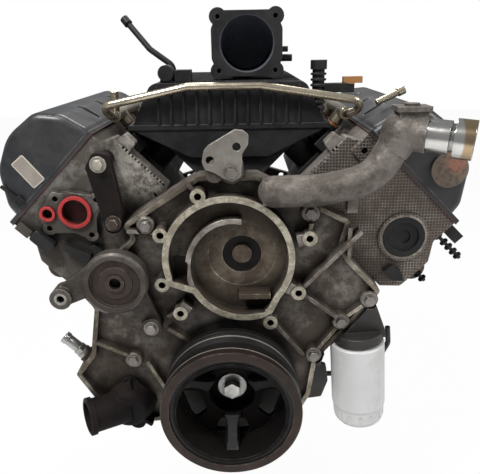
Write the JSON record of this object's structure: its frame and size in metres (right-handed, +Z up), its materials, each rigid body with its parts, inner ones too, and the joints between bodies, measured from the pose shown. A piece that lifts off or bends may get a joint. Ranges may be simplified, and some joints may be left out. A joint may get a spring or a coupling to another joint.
{
  "type": "v-six engine",
  "caption": "Bare v-six engine with one overhead cam per bank: cast block, chain cover with open pump volute, belt damper, intake, fuel rail, oil filter and covers.",
  "frame": {"origin": "centre of the crankshaft's rear flange face, on the crank axis", "axes": "+Z up, +X to the right as seen from the engine's front, +Y to the rear along the crank axis; the front with the timing cover faces -Y"},
  "size_m": [0.6428, 0.5545, 0.675],
  "materials": {
    "bearing_metal": "plain",
    "black_plastic": "matte moulding",
    "black_rubber": "matte",
    "cast_aluminium": "weathered sand casting",
    "cast_block": "rough cast",
    "cover_plastic": "satin moulding",
    "dark_steel": "oxide",
    "filter_white": "gloss paint",
    "machined_aluminium": "machined",
    "plated_steel": "plated",
    "red_rubber": "satin",
    "rusty_iron": "rust film",
    "steel": "bare"
  },
  "bodies": {
    "engine": {"engine_block": "cast_block", "bedplate": "cast_block", "main_bearings": "bearing_metal", "head_gaskets": "dark_steel", "cylinder_head_left": "cast_aluminium", "cylinder_head_right": "cast_aluminium", "valve_cover_left": "cover_plastic", "valve_cover_right": "cover_plastic", "front_cover": "cast_aluminium", "cover_bolts": "dark_steel", "crank_seals": "black_rubber", "oil_pan": "dark_steel", "oil_pump": "machined_aluminium", "intake_manifold": "black_plastic", "throttle_neck": "black_plastic", "manifold_fittings": "black_plastic", "vacuum_line": "black_plastic", "fuel_rail": "plated_steel", "fuel_injectors": "black_plastic", "ignition_coils": "black_plastic", "spark_plugs": "steel", "coolant_outlet": "cast_aluminium", "outlet_tube": "steel", "thermostat_housing": "black_plastic", "heater_nipple": "plated_steel", "tensioner_base": "machined_aluminium", "lifting_plate": "steel", "oil_filter_adapter": "cast_aluminium", "oil_filter": "filter_white", "exhaust_manifold_left": "rusty_iron", "exhaust_manifold_right": "rusty_iron", "mount_bracket": "dark_steel", "accessory_strut": "black_plastic", "port_seals": "red_rubber", "access_plug": "black_rubber", "harness_clips": "black_plastic", "chain_guides": "black_plastic", "valves": "steel", "valve_springs": "steel", "lash_adjusters": "steel", "rocker_arms": "steel", "timing_chains": "dark_steel", "connecting_rods": "steel"},
    "crank": {"crankshaft": "cast_block", "damper_hub": "rusty_iron", "damper_rubber": "black_rubber", "damper_ring": "rusty_iron", "crank_bolt": "dark_steel", "crank_sprocket": "steel"},
    "left_cam": {"camshaft_left": "cast_block"},
    "right_cam": {"camshaft_right": "cast_block"},
    "idler": {"idler_sprocket": "steel"},
    "balancer": {"balance_shaft": "cast_block"},
    "tensioner": {"tensioner_arm": "machined_aluminium"},
    "piston_body_1": {"piston_1": "machined_aluminium"},
    "piston_body_2": {"piston_2": "machined_aluminium"},
    "piston_body_3": {"piston_3": "machined_aluminium"},
    "piston_body_4": {"piston_4": "machined_aluminium"},
    "piston_body_5": {"piston_5": "machined_aluminium"},
    "piston_body_6": {"piston_6": "machined_aluminium"}
  },
  "joints": [
    {"name": "crank_turn", "type": "hinge", "parent": "engine", "child": "crank", "pos_m": [0, 0, 0], "axis": [0, 1, 0], "continuous": true, "deforming": ["connecting_rods"]},
    {"name": "left_cam_turn", "type": "hinge", "parent": "engine", "child": "left_cam", "pos_m": [-0.25668, -0.2, 0.25668], "axis": [0, 1, 0], "continuous": true, "deforming": ["rocker_arms"]},
    {"name": "right_cam_turn", "type": "hinge", "parent": "engine", "child": "right_cam", "pos_m": [0.25668, -0.2, 0.25668], "axis": [0, 1, 0], "continuous": true, "deforming": ["rocker_arms"]},
    {"name": "idler_turn", "type": "hinge", "parent": "engine", "child": "idler", "pos_m": [0, -0.4, 0.095], "axis": [0, 1, 0], "continuous": true},
    {"name": "balancer_turn", "type": "hinge", "parent": "engine", "child": "balancer", "pos_m": [0, -0.2, 0.149], "axis": [0, 1, 0], "continuous": true},
    {"name": "belt_tensioner_swing", "type": "hinge", "parent": "engine", "child": "tensioner", "pos_m": [-0.149, -0.48, 0.161], "axis": [0, 1, 0], "range_deg": [-22, 8], "stiffness_Nm_per_rad": 6, "springref_deg": -20.05},
    {"name": "piston_1_slide", "type": "slide", "parent": "engine", "child": "piston_body_1", "axis": [0.7071, 0, 0.7071], "range_m": [-0.07415, 0.01665], "deforming": ["connecting_rods"]},
    {"name": "piston_2_slide", "type": "slide", "parent": "engine", "child": "piston_body_2", "axis": [-0.7071, 0, 0.7071], "range_m": [-0.05084, 0.03996], "deforming": ["connecting_rods"]},
    {"name": "piston_3_slide", "type": "slide", "parent": "engine", "child": "piston_body_3", "axis": [0.7071, 0, 0.7071], "range_m": [-0.05084, 0.03996], "deforming": ["connecting_rods"]},
    {"name": "piston_4_slide", "type": "slide", "parent": "engine", "child": "piston_body_4", "axis": [-0.7071, 0, 0.7071], "range_m": [-0.0011, 0.0897], "deforming": ["connecting_rods"]},
    {"name": "piston_5_slide", "type": "slide", "parent": "engine", "child": "piston_body_5", "axis": [0.7071, 0, 0.7071], "range_m": [-0.0011, 0.0897], "deforming": ["connecting_rods"]},
    {"name": "piston_6_slide", "type": "slide", "parent": "engine", "child": "piston_body_6", "axis": [-0.7071, 0, 0.7071], "range_m": [-0.07415, 0.01665], "deforming": ["connecting_rods"]}
  ],
  "couplings": [
    {"joint": "left_cam_turn", "follows": "crank_turn", "ratio": 0.5},
    {"joint": "right_cam_turn", "follows": "crank_turn", "ratio": 0.5},
    {"joint": "idler_turn", "follows": "crank_turn", "ratio": 0.5},
    {"joint": "balancer_turn", "follows": "crank_turn", "ratio": -1}
  ]
}
